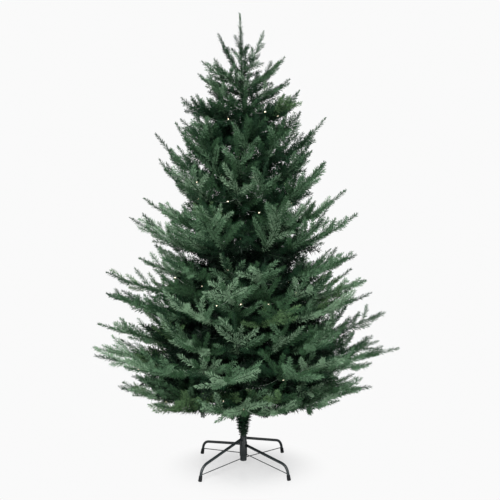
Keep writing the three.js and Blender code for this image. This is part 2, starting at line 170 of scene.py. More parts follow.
def plasticMaterial(name, tone, spread, roughness):
    material, tree, shader = startMaterial(name)
    finish = finishes["plastic"]
    addSpeckle(tree, shader, scaled(tone, 1 - spread), scaled(tone, 1 + spread), finish["speckle"])
    feed(tree, shader, Roughness=roughness, Specular_IOR_Level=finish["specular"])
    return material


def enamelMaterial(name, tone, roughness):
    material, tree, shader = startMaterial(name)
    finish = finishes["enamel"]
    darker, lighter = scaled(tone, finish["darker"]), scaled(tone, finish["lighter"])
    place, noise = addSpeckle(tree, shader, darker, lighter, finish["speckle"])
    addBump(tree, shader, place, finish["grain"], finish["grainDepth"])
    wear = addNode(tree, "ShaderNodeMapRange", Value=noise, To_Min=roughness - finish["smoother"],
                   To_Max=roughness + finish["rougher"])
    feed(tree, shader, Roughness=wear.outputs["Result"], Specular_IOR_Level=finish["specular"])
    return material


def glowMaterial(name, tone):
    material, tree, shader = startMaterial(name)
    finish = finishes["bulb"]
    addSpeckle(tree, shader, tone, finish["paler"], finish["speckle"])
    feed(tree, shader, Roughness=finish["roughness"], Emission_Color=finish["glow"],
         Emission_Strength=finish["strength"])
    return material


# Meshes
def link(name, data):
    thing = bpy.data.objects.new(name, data)
    bpy.context.scene.collection.objects.link(thing)
    return thing


def addObject(name, points, faces, material, smoothed=True):
    mesh = bpy.data.meshes.new(name)
    mesh.from_pydata(points, [], faces)
    mesh.materials.append(material)
    mesh.polygons.foreach_set("use_smooth", [smoothed] * len(mesh.polygons))
    mesh.update()
    return link(name, mesh)


def finishPiece(piece, replaced=()):
    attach(piece, "root")
    if replaced:
        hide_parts(*replaced)


def addPiece(name, points, faces, material, replaced=()):
    finishPiece(addObject(name, points, faces, material), replaced)


def addTurned(name, profile, sides, material, replaced=(), places=(Matrix.Identity(4),)):
    # a piece of closed turned solids, from radii and heights, and cut off at the floor; a radius
    # of zero is one point on the axis
    points, faces = [], []
    for place in places:
        rings = []
        for radius, height in profile:
            first = len(points)
            count = sides if radius else 1
            for k in range(count):
                angle = 2 * math.pi * k / sides
                point = place @ Vector((radius * math.cos(angle), radius * math.sin(angle), height))
                points.append((point.x, point.y, max(0, point.z)))
            rings.append(range(first, first + count))
        for low, high in zip(rings, rings[1:]):
            for k in range(sides):
                a, b = low[k % len(low)], low[(k + 1) % len(low)]
                c, d = high[(k + 1) % len(high)], high[k % len(high)]
                faces.append((a, c, d) if a == b else (a, b, c) if c == d else (a, b, c, d))
    addPiece(name, points, faces, material, replaced)


def chamfered(radius, bottom, top, edge):
    # profile of a bar with chamfered ends
    return [(0, bottom), (radius - edge, bottom), (radius, bottom + edge),
            (radius, top - edge), (radius - edge, top), (0, top)]


def sideways(along):
    side = along.cross(up)
    if side.length < 1e-4:
        side = Vector((1, 0, 0))
    return side.normalized()


def addTube(points, faces, way, radii, sides, lobes=None):
    # a closed tube along a way of points; lobes twist strands round it
    first = len(points)
    normal = None
    for i, centre in enumerate(way):
        along = (way[min(i + 1, len(way) - 1)] - way[max(i - 1, 0)]).normalized()
        normal = sideways(along) if normal is None else (normal - along * normal.dot(along)).normalized()
        side = along.cross(normal)
        for k in range(sides):
            angle = 2 * math.pi * k / sides
            radius = radii[i] * (lobes(angle, i) if lobes else 1)
            out = normal * (radius * math.cos(angle)) + side * (radius * math.sin(angle))
            points.append(centre + out)
    for i in range(len(way) - 1):
        for k in range(sides):
            a, b = first + i * sides + k, first + i * sides + (k + 1) % sides
            faces.append((a, b, b + sides, a + sides))
    last = first + (len(way) - 1) * sides
    faces.append(tuple(reversed(range(first, first + sides))))
    faces.append(tuple(range(last, last + sides)))


# The rule of the crown, as in the solids: rows of masses, and in each mass limbs that leave its
# stem at a fork, settle at their own azimuth and curl up towards their tips
crown = {
    "rows": [
        {"count": 6, "turn": 34, "seed": 612, "bough": True,
         "low": (0.315, 0.400, 0.580), "high": (0.385, 0.430, 0.650)},
        {"count": 6, "turn": 8, "seed": 18872, "bough": True,
         "low": (0.480, 0.580, 0.775), "high": (0.580, 0.705, 0.700)},
        {"count": 5, "turn": 48, "seed": 24, "bough": False,
         "low": (0.675, 0.850, 0.700), "high": (0.775, 0.945, 0.660)},
        {"count": 4, "turn": 78, "seed": 1193, "bough": False,
         "low": (0.865, 1.005, 0.560), "high": (0.985, 1.210, 0.630)},
        {"count": 4, "turn": 138, "seed": 380, "bough": False,
         "low": (1.085, 1.275, 0.500), "high": (1.190, 1.445, 0.515)},
        {"count": 3, "turn": 112, "seed": 246, "bough": False,
         "low": (1.290, 1.525, 0.425), "high": (1.390, 1.620, 0.420)},
        {"count": 3, "turn": 76, "seed": 125, "bough": False,
         "low": (1.500, 1.640, 0.305), "high": (1.605, 1.725, 0.330)},
    ],
    "whorls": [
        {"count": 4, "turn": 5, "seed": 68, "tier": (1.668, 1.825, 0.210), "filled": True},
        {"count": 4, "turn": 10, "seed": 192, "tier": (1.740, 1.905, 0.200), "filled": True},
        {"count": 3, "turn": 32, "seed": 62, "tier": (1.815, 2.015, 0.120), "filled": False},
    ],
    "leaderTop": 2.094, "leaderAside": 0.015, "leaderFoot": 1.6553,
    "boughReach": 0.13, "forkPastBough": 0.03, "fork": 0.062, "settle": 0.3, "flat": 0.35, "curl": 2.2,
    "sway": 5, "tipSway": 0.025, "reachSpread": 0.17,
    "bendFrom": 0.4, "bendPart": 0.6, "bendSpan": (0.2, 1.1),
    "whorlApart": 0.014, "whorlBelow": 0.05, "whorlEven": 0.6, "whorlShoots": 1.6, "whorlBare": 0.05,
    "whorlTwigs": 5,
}

# Limbs of a mass: place across it, tier, share of the tier's reach, bend of the tip upwards, and how
# many side twigs. The first three are the limbs of the solids, and the rest fill in between them.
ways = [
    {"across": 0, "tier": "high", "reach": 1, "bend": 0, "twigs": 11},
    {"across": -0.25, "tier": "low", "reach": 1, "bend": 0, "twigs": 11},
    {"across": 0.25, "tier": "low", "reach": 1, "bend": 0, "twigs": 11},
    {"across": -0.36, "tier": "high", "reach": 0.78, "bend": 0.15, "twigs": 8},
    {"across": 0.36, "tier": "high", "reach": 0.78, "bend": 0.19, "twigs": 8},
    {"across": 0.04, "tier": "low", "reach": 0.8, "bend": 0.17, "twigs": 9},
]

# Side twigs, by shares of the length of their limb and of their tier's reach. The bare leader
# beyond the last of them is given in metres. A pair of numbers is a span, or where a change along
# the limb starts and how long it goes on. High is for the upper rows.
twig = {
    "key": 50, "places": 12, "first": 0.24, "leastLast": 0.6,
    "longest": 0.28, "shortest": 0.18, "least": 0.06, "lengths": (0.78, 1.15), "longerHigh": 1.25,
    "atTip": 0.66, "tipChange": (0.5, 0.38),
    "wide": 56, "narrow": 38, "wideHigh": 48, "narrowHigh": 32, "sway": 12,
    "lift": 3, "liftSway": 12, "roll": 14, "upturn": 0.22, "upturnHigh": 0.12,
    "bare": 0.08, "baseSize": 1.12, "tipSize": 0.9,
}
# Needles along the limb itself: thick on its green part, and slim and close on its bare leader
limbSpray = {
    "key": 11, "from": 0.4, "innerTo": 0.5, "tintPlace": 0.7, "greenLeaders": 0.6,
    "leader": (0.05, 0.14), "size": 1.25, "leaderSize": 0.84, "sizeChange": (0.4, 0.5),
    "leaderLean": 0.95, "leanOver": 0.12,
}
# Finer shoots on the side twigs
fine = {
    "key": 90, "first": 0.22, "last": 0.5, "apart": 0.11, "least": 0.06, "shift": 0.5,
    "long": 0.11, "short": 0.08, "lengths": (0.85, 1.15), "spread": 40, "sway": 8,
    "lift": 2, "liftSway": 16, "upturn": 0.15, "bare": 0.08, "size": 0.95,
}
# Shoots that stand up from the limb
crest = {
    "key": 170, "first": 0.36, "last": 0.68, "count": 2, "countHigh": 1, "length": 0.1,
    "lengths": (0.8, 1.2), "fullReach": 0.65, "spread": 34, "rise": 45, "riseHigh": 38,
    "rises": (0.7, 1.2), "upturn": 0.1, "bare": 0.1, "size": 0.95,
}
# Twigs on the inner part of the limbs, in the darkest greens: partly the plastic's own dark green, partly
# painted shade inside the crown
inner = {
    "key": 130, "first": 0.0, "last": 0.4, "count": 13, "countHigh": 12, "length": 0.145,
    "lengths": (0.7, 1.2), "spread": 75, "spreads": (0.4, 1.1), "rise": 66, "drop": 55,
    "lowestDrop": 0, "usualReach": 0.7, "leastScale": 0.6,
}
# The leader of the tree
leader = {"from": 0.05, "size": 1.1, "tipSize": 0.85, "sizeChange": (0.5, 0.4)}
# Radii of the wires that carry the needles, at the root and at the tip
wireRadii = {
    "limb": (0.0028, 0.0011), "side": (0.0018, 0.001), "shoot": (0.0013, 0.0009),
    "leader": (0.004, 0.0014),
}
topLevel = 7  # level of the whorls and the leader, above the rows


def highOf(level):  # what the names of values for the upper rows end in
    return "High" if level > 4 else ""


def stemHeight(row):
    return (row["low"][0] + row["high"][0]) / 2


def forkReach(row):
    return crown["boughReach"] + crown["forkPastBough"] if row["bough"] else crown["fork"]


def massAzimuth(row, mass):
    return row["turn"] + 360 / row["count"] * mass


def curlUp(share):
    share = max(share, 0)
    return crown["flat"] * share + (1 - crown["flat"]) * share ** crown["curl"]


def climb(share):
    return crown["whorlEven"] * share + (1 - crown["whorlEven"]) * share * share


def swayed(tier, azimuth, roll, reachShare=1):
    root, tip, reach = tier
    azimuth += sway(crown["sway"], roll)
    share = (1 - crown["reachSpread"] * roll()) * reachShare
    tip = lerp(root, tip, share) + sway(crown["tipSway"], roll)
    return azimuth, reach * share, tip


def limbPath(row, mass, number):
    way = ways[number]
    tier = row[way["tier"]]
    centre = massAzimuth(row, mass)
    roll = dice(row["seed"], mass, number)
    azimuth, reach, tip = swayed(tier, centre + 360 / row["count"] * way["across"], roll, way["reach"])
    bend = way["bend"] * tier[2] * draw(crown["bendSpan"], roll)

    def path(share):
        settled = smooth(share / crown["settle"])
        foot = lerp(stemHeight(row), tier[0], settled)
        bent = max(0, (share - crown["bendFrom"]) / crown["bendPart"])
        rise = (tip - tier[0]) * curlUp(share) + bend * bent ** 2
        return polar(lerp(centre, azimuth, settled), lerp(forkReach(row), reach, share), foot + rise)

    return path


def leaderAt(height):  # the leader leans a little to one side
    share = (height - crown["leaderFoot"]) / (crown["leaderTop"] - crown["leaderFoot"])
    return Vector((-crown["leaderAside"] * share, 0, height))


def whorlPath(whorl, number, between=False):
    # the limbs of the solids, or shorter ones that stand between them
    roll = dice(whorl["seed"], number, 9) if between else dice(whorl["seed"], number)
    root, tip, reach = whorl["tier"]
    turn = whorl["turn"] + 360 / whorl["count"] * (number + (0.5 if between else 0))
    if between:
        root, tip = root - crown["whorlBelow"] / 2, tip - crown["whorlBelow"]
    azimuth, reach, tip = swayed((root, tip, reach), turn, roll)
    root += crown["whorlApart"] * number
    foot = leaderAt(root) - up * root
    return lambda share: foot + polar(azimuth, reach * share, lerp(root, tip, climb(share)))


def directionAt(path, share):
    return (path(share + 0.01) - path(share - 0.01)).normalized()


def sprout(parent, share, spread, lift, length, upturn=0.0):
    # a path that leaves its parent there, forward, to one side and upwards, and turns up a little
    root, along = parent(share), directionAt(parent, share)
    side = sideways(along)
    rise = side.cross(along)
    way = along * math.cos(spread * deg) + side * math.sin(spread * deg) + rise * math.sin(lift * deg)
    way = way.normalized()
    return lambda t: root + way * (length * t) + up * (upturn * length * t * t)


def sideTwig(limb, place):
    share = lerp(twig["first"], limb["last"], place / (twig["places"] - 1))
    roll = dice(*limb["keys"], twig["key"] + place)
    hand = 1 if place % 2 else -1
    high = highOf(limb["level"])
    spread = lerp(twig["wide" + high], twig["narrow" + high], share)
    spread = (spread + sway(twig["sway"], roll)) * hand
    lift = twig["lift"] + sway(twig["liftSway"], roll) + limb["roll"] * hand
    length = limb["tierReach"] * lerp(twig["longest"], twig["shortest"], share)
    length *= blend(1, twig["atTip"], share, *twig["tipChange"]) * (twig["longerHigh"] if high else 1)
    length = max(length * draw(twig["lengths"], roll), twig["least"])
    path = sprout(limb["path"], share, spread, lift, length, twig["upturn" + high] * roll())
    return {"path": path, "length": length, "share": share,
            "keys": (*limb["keys"], twig["key"] + place)}


# What grows is kept as lists: sprays carry needles, wires carry the sprays
sprays = []
wires = []
zones = ("low", "middle", "high")  # parts of the crown, each with needles and twigs of its own


def zoneOf(level):
    return "low" if level < 2 else "middle" if level < 4 else "high"


def addSpray(path, start, end, steps, level, tint, size, lean):
    shares = [lerp(start, end, i / steps) for i in range(steps + 1)]
    pick = lambda value, share: value(share) if callable(value) else value
    sprays.append({
        "points": [path(share) for share in shares],
        "sizes": [pick(size, share) for share in shares],
        "leans": [pick(lean, share) for share in shares],
        "zone": zoneOf(level), "tint": tint,
    })


def addWire(path, start, end, steps, level, kind):
    shares = [lerp(start, end, i / steps) for i in range(steps + 1)]
    wires.append({
        "points": [path(share) for share in shares],
        "radii": [lerp(*wireRadii[kind], i / steps) for i in range(steps + 1)],
        "zone": zoneOf(level),
    })


def addShoot(path, start, level, tint, size):
    addSpray(path, start, 1, 2, level, tint, size, 1)
    addWire(path, 0, 0.97, 1, level, "shoot")


# How the greens are dealt out to sprays, by how far out on the limb they grow: paler on the outer
# shoots and darker deep in the crown. This is partly the plastic's own greens, partly painted light on
# the outer shoots and painted shade inside the crown. Limbs whose tone is above freshFrom are of a
# fresher green.
tintShares = {
    "outer": [("frosted", 0.34), ("sage", 0.4), ("green", 0.26)],
    "mid": [("sage", 0.3), ("green", 0.42), ("deep", 0.28)],
    "deepIn": [("green", 0.2), ("deep", 0.8)],
    "freshLimb": [("fresh", 0.75), ("green", 0.25)],
}
tintRule = {"outerFrom": 0.6, "midFrom": 0.42, "freshFrom": 0.89, "mixed": 0.3, "most": 0.999}


def dealTint(share, tone, roll):
    # the dark greens deep in are partly painted shade, the pale greens far out partly painted light
    group = "deepIn"
    if share > tintRule["midFrom"]:
        group = "outer" if share > tintRule["outerFrom"] else "mid"
    if tone > tintRule["freshFrom"] and group != "deepIn":
        group, tone = "freshLimb", roll()
    number = min(tintRule["most"], max(0, tone + tintRule["mixed"] * (roll() - 0.5)))
    for tint, part in tintShares[group]:
        number -= part
        if number < 0:
            return tint
    return tintShares[group][-1][0]


def shootSize(level):  # shoots grow slimmer towards the top
    return {topLevel - 1: 0.95, topLevel: 0.85}.get(level, 1)


def growFine(side, level, tone):
    roll = dice(*side["keys"], fine["key"])
    count = int((side["length"] - fine["least"]) / fine["apart"])
    for place in range(count):
        part = (place + fine["shift"] * roll()) / max(1, count - fine["shift"])
        share = lerp(fine["first"], fine["last"], part)
        hand = 1 if place % 2 else -1
        spread = (fine["spread"] + sway(fine["sway"], roll)) * hand
        lift = fine["lift"] + sway(fine["liftSway"], roll)
        length = lerp(fine["long"], fine["short"], share) * draw(fine["lengths"], roll)
        path = sprout(side["path"], share, spread, lift, length, fine["upturn"])
        tint = dealTint(side["share"], tone, roll)
        addShoot(path, fine["bare"], level, tint, fine["size"] * shootSize(level))


def growLimb(limb, level, start, twigs):
    path = limb["path"]
    roll = dice(*limb["keys"], limbSpray["key"])
    limb["level"] = level
    tone = roll()
    limb["roll"] = sway(twig["roll"], roll)
    bareLeader = draw(limbSpray["leader"], roll) / (path(1) - path(0)).length
    last = limb["last"] = max(twig["leastLast"], 1 - bareLeader)
    size = shootSize(level)
    tipSize = min(1, limbSpray["leaderSize"] / size)
    slimmer = lambda share: size * blend(limbSpray["size"], tipSize, share, *limbSpray["sizeChange"])
    closer = lambda share: blend(1, limbSpray["leaderLean"], share, last, limbSpray["leanOver"])
    tint = dealTint(limbSpray["tintPlace"], tone, roll)
    addSpray(path, limbSpray["from"], last, 6, level, tint, slimmer, closer)
    tint = "green" if roll() < limbSpray["greenLeaders"] else "deep"
    addSpray(path, last, 1, 4, level, tint, slimmer, closer)
    # the limb's inner part in the darkest green, partly painted shade inside the crown
    addSpray(path, start, limbSpray["innerTo"], 6, level, "inner", min(1, size), 1)
    addWire(path, start, 0.995, 12, level, "limb")
    taper = lambda share: size * lerp(twig["baseSize"], twig["tipSize"], share)
    for number in range(twigs):
        place = round(number * (twig["places"] - 1) / (twigs - 1))
        side = sideTwig(limb, place)
        tint = dealTint(side["share"], tone, roll)
        addSpray(side["path"], twig["bare"], 1, 3, level, tint, taper, 1)
        addWire(side["path"], 0, 0.98, 2, level, "side")
        growFine(side, level, tone)
    growCrest(limb, level, tone)


def growCrest(limb, level, tone):
    roll = dice(*limb["keys"], crest["key"])
    high = highOf(level)
    count = 0 if level == topLevel else crest["count" + high]
    longer = min(1, 1 - crest["fullReach"] + limb["tierReach"])
    for place in range(count):
        share = lerp(crest["first"], crest["last"], (place + roll()) / count)
        spread = sway(crest["spread"], roll)
        rise = crest["rise" + high] * draw(crest["rises"], roll)
        length = crest["length"] * draw(crest["lengths"], roll) * longer
        path = sprout(limb["path"], share, spread, rise, length, crest["upturn"])
        tint = dealTint(share, tone, roll)
        addShoot(path, crest["bare"], level, tint, crest["size"] * shootSize(level))


def growInner(limb, level):
    roll = dice(*limb["keys"], inner["key"])
    reachScale = max(inner["leastScale"], limb["tierReach"] / inner["usualReach"])
    count = inner["count" + highOf(level)]
    # darkest green as painted shade inside the crown; the lowest row and the top get the lighter deep
    # green
    tint = "deep" if level == 0 or zoneOf(level) == "high" else "inner"
    drop = inner["drop"] if level else inner["lowestDrop"]
    for place in range(count):
        share = lerp(inner["first"], inner["last"], (place + roll()) / count)
        hand = 1 if place % 2 else -1
        spread = inner["spread"] * draw(inner["spreads"], roll) * hand
        lift = lerp(-drop, inner["rise"], roll())
        length = inner["length"] * draw(inner["lengths"], roll) * reachScale
        path = sprout(limb["path"], share, spread, lift, length)
        addShoot(path, 0, level, tint, 1)


def growTop():
    for whorl in crown["whorls"]:
        for number in range(whorl["count"]):
            for between in (False, True) if whorl["filled"] else (False,):
                limb = {
                    "path": whorlPath(whorl, number, between),
                    "keys": (whorl["seed"], number, int(between)),
                    "tierReach": whorl["tier"][2] * crown["whorlShoots"],
                }
                growLimb(limb, topLevel, crown["whorlBare"], crown["whorlTwigs"])
    path = lambda share: leaderAt(lerp(crown["leaderFoot"], crown["leaderTop"], share))
    slimmer = lambda share: blend(leader["size"], leader["tipSize"], share, *leader["sizeChange"])
    addSpray(path, leader["from"], 1, 12, topLevel, "green", slimmer, 1)
    addWire(path, 0, 0.995, 6, topLevel, "leader")


def growCrown():
    for level, row in enumerate(crown["rows"]):
        for mass in range(row["count"]):
            for number, way in enumerate(ways):
                limb = {
                    "path": limbPath(row, mass, number),
                    "keys": (row["seed"], mass, number),
                    "tierReach": row[way["tier"]][2],
                }
                growLimb(limb, level, 0, way["twigs"])
                growInner(limb, level)
    growTop()


growCrown()
print("crown grown:", len(sprays), "sprays,", len(wires), "wires")


# Geometry Nodes
def startTree(name, sockets):
    tree = bpy.data.node_groups.new(name, "GeometryNodeTree")
    tree.interface.new_socket("Geometry", in_out="INPUT", socket_type="NodeSocketGeometry")
    tree.interface.new_socket("Geometry", in_out="OUTPUT", socket_type="NodeSocketGeometry")
    for title, kind in sockets.items():
        tree.interface.new_socket(title, in_out="INPUT", socket_type="NodeSocket" + kind)
    given = addNode(tree, "NodeGroupInput").outputs
    return tree, given, addNode(tree, "GeometryNodeMeshToCurve", Mesh=given["Geometry"])


def endTree(tree, geometry, material):
    # real meshes in the given material
    real = addNode(tree, "GeometryNodeRealizeInstances", Geometry=geometry)
    painted = addNode(tree, "GeometryNodeSetMaterial", Geometry=real, Material=material)
    addNode(tree, "NodeGroupOutput", Geometry=painted)
    return tree


def namedValue(tree, name):
    node = addNode(tree, "GeometryNodeInputNamedAttribute", {"data_type": "FLOAT"}, Name=name)
    return next(s for s in node.outputs if s.name == "Attribute" and s.enabled)


def randomValue(tree, low, high, seed):
    node = addNode(tree, "FunctionNodeRandomValue", {"data_type": "FLOAT"}, Min=low, Max=high, Seed=seed)
    return next(s for s in node.outputs if s.enabled)


# How needles stand on a path: each turned on from the last by the golden angle. Three values fade
# along the path, each given by where it starts and ends to change, and what it is there.
growth = {
    "turn": 2.39996, "twist": 1.3, "lengths": (0.82, 1.12),
    "leanToTip": (0.85, 1.0, 1.0, 0.5), "lengthToTip": (0.75, 1.0, 1.0, 0.8),
    "lengthAtRoot": (0.0, 0.2, 0.75, 1.0),
}


def makeNeedleTree():
    # needles stand round each path in a spiral, lean forward and close to a tuft at its end
    tree, given, curves = startTree("needlesOnTwigs", {
        "Needle": "Object", "Spacing": "Float", "Lean": "Float", "Ruffle": "Float",
        "Seed": "Int", "Material": "Material",
    })
    places = addNode(tree, "GeometryNodeResampleCurve", {"mode": "LENGTH"}, Curve=curves,
                     Length=given["Spacing"])
    factor = addNode(tree, "GeometryNodeSplineParameter").outputs["Factor"]
    spin = product(tree, addNode(tree, "GeometryNodeInputIndex"), growth["turn"])
    seed = given["Seed"]
    ruffle = randomValue(tree, product(tree, given["Ruffle"], -1.0), given["Ruffle"], seed)
    closing = addFade(tree, factor, *growth["leanToTip"])
    lean = product(tree, given["Lean"], namedValue(tree, "lean"), closing)
    lean = addMath(tree, "ADD", lean, ruffle)
    twist = randomValue(tree, -growth["twist"], growth["twist"], addMath(tree, "ADD", seed, 7.0))
    tangent = addNode(tree, "GeometryNodeInputTangent")
    rotation = addNode(tree, "FunctionNodeAlignRotationToVector", {"axis": "Z"}, Vector=tangent)
    for angles in ({"X": lean, "Z": spin}, {"Z": twist}):
        euler = addNode(tree, "ShaderNodeCombineXYZ", **angles)
        step = addNode(tree, "FunctionNodeEulerToRotation", Euler=euler)
        rotation = addNode(tree, "FunctionNodeRotateRotation", {"rotation_space": "LOCAL"},
                           Rotation=rotation, Rotate_By=step)
    uneven = randomValue(tree, *growth["lengths"], addMath(tree, "ADD", seed, 3.0))
    fades = [addFade(tree, factor, *growth[fade]) for fade in ("lengthToTip", "lengthAtRoot")]
    length = product(tree, namedValue(tree, "size"), *fades, uneven)
    width = addMath(tree, "SQRT", length, 0.0)
    scale = addNode(tree, "ShaderNodeCombineXYZ", X=width, Y=width, Z=length)
    needle = addNode(tree, "GeometryNodeObjectInfo", Object=given["Needle"]).outputs["Geometry"]
    stood = addNode(tree, "GeometryNodeInstanceOnPoints", Points=places, Instance=needle,
                    Rotation=rotation, Scale=scale)
    return endTree(tree, stood, given["Material"])


def makeWireTree():
    # a thin closed tube along each path, as thick as its points say
    tree, given, curves = startTree("wiresOnTwigs", {"Sides": "Int", "Material": "Material"})
    size = namedValue(tree, "size")
    thick = addNode(tree, "GeometryNodeSetCurveRadius", Curve=curves, Radius=size)
    ring = addNode(tree, "GeometryNodeCurvePrimitiveCircle", Resolution=given["Sides"], Radius=1.0)
    skin = addNode(tree, "GeometryNodeCurveToMesh", Curve=thick, Profile_Curve=ring, Fill_Caps=True)
    if "Scale" in skin.inputs:  # then the radius of the curve isn't used
        feed(tree, skin, Scale=size)
    return endTree(tree, skin, given["Material"])


def pathMesh(paths, values):
    # paths as loose edges, with named values on their points
    points, edges = [], []
    for path in paths:
        first = len(points)
        points.extend(path["points"])
        edges.extend((n, n + 1) for n in range(first, len(points) - 1))
    mesh = bpy.data.meshes.new("paths")
    mesh.from_pydata(points, edges, [])
    for title, key in values.items():
        layer = mesh.attributes.new(title, "FLOAT", "POINT")
        layer.data.foreach_set("value", [value for path in paths for value in path[key]])
    return mesh


def growPiece(name, paths, values, tree, inputs, replaced):
    piece = link(name, pathMesh(paths, values))
    modifier = piece.modifiers.new("growth", "NODES")
    modifier.node_group = tree
    for item in tree.interface.items_tree:
        if item.in_out == "INPUT" and item.name in inputs:
            modifier[item.identifier] = inputs[item.name]
    depsgraph = bpy.context.evaluated_depsgraph_get()
    result = bpy.data.meshes.new_from_object(piece.evaluated_get(depsgraph))
    piece.modifiers.remove(modifier)
    piece.data = result
    result.name = name
    for title in [a.name for a in result.attributes if a.name in values]:
        result.attributes.remove(result.attributes[title])
    result.calc_loop_triangles()
    print(name, len(result.loop_triangles), "triangles")
    finishPiece(piece, replaced)


def needleObject(name, kind):
    # a needle is a folded kite of two faces along +Z
    middle, half, fold = kind["length"] * kind["widest"], kind["width"] / 2, kind["fold"]
    points = [(0, 0, 0), (half, fold, middle), (0, 0, kind["length"]), (-half, fold, middle)]
    mesh = bpy.data.meshes.new(name)
    mesh.from_pydata(points, [], [(0, 1, 2), (0, 2, 3)])
    return link(name, mesh)


needleTree = makeNeedleTree()
needleValues = {"size": "sizes", "lean": "leans"}
wireTree = makeWireTree()

# Masses of the solids that the pieces of a zone stand for
massNames = {
    zone: [f"mass_{level + 1}_{mass + 1}" for level, row in enumerate(crown["rows"])
           for mass in range(row["count"]) if zoneOf(level) == zone]
    for zone in zones
}
massNames["high"].append("mass_top")

# Blades of the outer and of the inner needles, and the greens, from the palest on the outer tips to
# the darkest deep in the crown: the pale greens are partly painted light, the dark ones partly painted
# shade, over the plastic's own greens
needles = {
    "seed": 3,
    "outer": {"length": 0.022, "width": 0.0042, "fold": 0.0009, "widest": 0.6,
              "spacing": 0.00148, "lean": 0.82, "ruffle": 0.26},
    "inner": {"length": 0.031, "width": 0.0055, "fold": 0.0003, "widest": 0.4,
              "spacing": 0.0019, "lean": 1.1, "ruffle": 0.35},
    "tints": {
        "frosted": (0.214, 0.342, 0.215),
        "sage": (0.113, 0.218, 0.12),
        "fresh": (0.106, 0.201, 0.086),
        "green": (0.044, 0.11, 0.049),
        "deep": (0.016, 0.054, 0.0245),
        # nearly black green: partly the dark plastic of the inner needles, partly painted shade inside
        # the crown
        "inner": (0.0045, 0.017, 0.0082),
    },
}


def makeNeedles():
    leaf = needleObject("needleBlade", needles["outer"])
    thin = needleObject("thinBlade", needles["inner"])
    tints = {
        name: plasticMaterial(f"{name} needle plastic", tone, spread=0.14, roughness=0.5)
        for name, tone in needles["tints"].items()
    }
    seed = needles["seed"]
    for zone in zones:
        for tint, material in tints.items():
            chosen = [spray for spray in sprays if spray["zone"] == zone and spray["tint"] == tint]
            kind = needles["inner" if tint == "inner" else "outer"]
            growPiece(f"needles_{zone}_{tint}", chosen, needleValues, needleTree, {
                "Needle": thin if tint == "inner" else leaf, "Spacing": kind["spacing"],
                "Lean": kind["lean"], "Ruffle": kind["ruffle"], "Seed": seed, "Material": material,
            }, massNames[zone])
            seed += 1
    return leaf, thin, tints


leafBlade, thinBlade, tintMaterials = makeNeedles()
print("needles made")


def makeTwigs():
    wirePlastic = plasticMaterial("twig wire plastic", (0.04, 0.085, 0.045), spread=0.25, roughness=0.7)
    for zone in zones:
        chosen = [wire for wire in wires if wire["zone"] == zone]
        growPiece(f"twigs_{zone}", chosen, {"size": "radii"}, wireTree,
                  {"Sides": 4, "Material": wirePlastic}, massNames[zone])


makeTwigs()
print("twigs made")

# Stems and boughs: two strands of wire twisted together
bough = {"radius": 0.0068, "tipRadius": 0.0052, "pitch": 0.022, "step": 0.003, "sides": 12,
         "groove": 0.2, "inPole": 0.001, "inMass": 0.012}


def makeBoughs():
    wireMetal = enamelMaterial("twisted bough wire", (0.03, 0.042, 0.026), roughness=0.55)
    points, faces, names = [], [], []
    twist = math.pi * bough["step"] / bough["pitch"]
    groove = bough["groove"]
    lobes = lambda angle, i: 1 - groove + groove * abs(math.cos(angle - twist * i))
    for level, row in enumerate(crown["rows"]):
        height = stemHeight(row)
        start = poleRadius(height) - bough["inPole"]
        end = forkReach(row) + bough["inMass"]
        steps = int((end - start) / bough["step"])
        for mass in range(row["count"]):
            azimuth = massAzimuth(row, mass)
            way = [polar(azimuth, lerp(start, end, i / steps), height) for i in range(steps + 1)]
            radii = [lerp(bough["radius"], bough["tipRadius"], i / steps) for i in range(steps + 1)]
            addTube(points, faces, way, radii, bough["sides"], lobes)
            if row["bough"]:
                names.append(f"bough_{level + 1}_{mass + 1}")
    addPiece("bough_rods", points, faces, wireMetal, names)


# Pole: one bar in steps, each given by the height it starts at and its radius
pole = {"bottom": 0.0333, "top": 1.655, "steps": [(0.0333, 0.012), (0.79, 0.011), (1.37, 0.0095)],
        "shoulder": 0.003, "sides": 32, "lowBand": 0.02, "topBand": 0.006, "chamfer": 0.0006}


def poleRadius(height):
    return [radius for start, radius in pole["steps"] if height >= start][-1]


def makePole():
    enamel = enamelMaterial("pole enamel", (0.014, 0.035, 0.022), roughness=0.4)
    profile = [(0, pole["bottom"])]
    for i, (height, radius) in enumerate(pole["steps"]):
        last = i == len(pole["steps"]) - 1
        end = pole["top"] if last else pole["steps"][i + 1][0]
        start = height + pole["shoulder"] if i else height
        profile += [(radius, start), (radius, start + pole["lowBand"]), (radius, end - pole["topBand"]),
                    (radius - pole["chamfer"], end)]
    profile.append((0, pole["top"]))
    addTurned("pole_tube", profile, pole["sides"], enamel, ["pole"])


makeBoughs()
makePole()
print("pole and boughs made")

# Needle wrap round the foot of the pole: short at its foot and bushy under the lowest boughs
wrap = {
    "bottom": 0.151, "top": 0.3, "strands": 8, "steps": 6, "radius": 0.0125, "short": 0.55, "long": 1.75,
    "bushier": 1.3, "leans": (1.1, 0.95), "spacing": 0.0008, "lean": 1.2, "ruffle": 0.4, "seed": 40,
}


def makeWrap():
    paths = []
    for strand in range(wrap["strands"]):
        azimuth = 360 / wrap["strands"] * strand
        shares = [i / wrap["steps"] for i in range(wrap["steps"] + 1)]
        heights = [lerp(wrap["bottom"], wrap["top"], s) for s in shares]
        paths.append({
            "points": [polar(azimuth, wrap["radius"], height) for height in heights],
            "sizes": [lerp(wrap["short"], wrap["long"], s ** wrap["bushier"]) for s in shares],
            "leans": [lerp(*wrap["leans"], s) for s in shares],
        })
    growPiece("pole_wrap_needles", paths, needleValues, needleTree, {
        "Needle": thinBlade, "Spacing": wrap["spacing"], "Lean": wrap["lean"],
        "Ruffle": wrap["ruffle"], "Seed": wrap["seed"], "Material": tintMaterials["deep"],
    }, ["pole_wrap"])


makeWrap()
for blade in (leafBlade, thinBlade):
    bpy.data.objects.remove(blade)
print("pole wrap made")

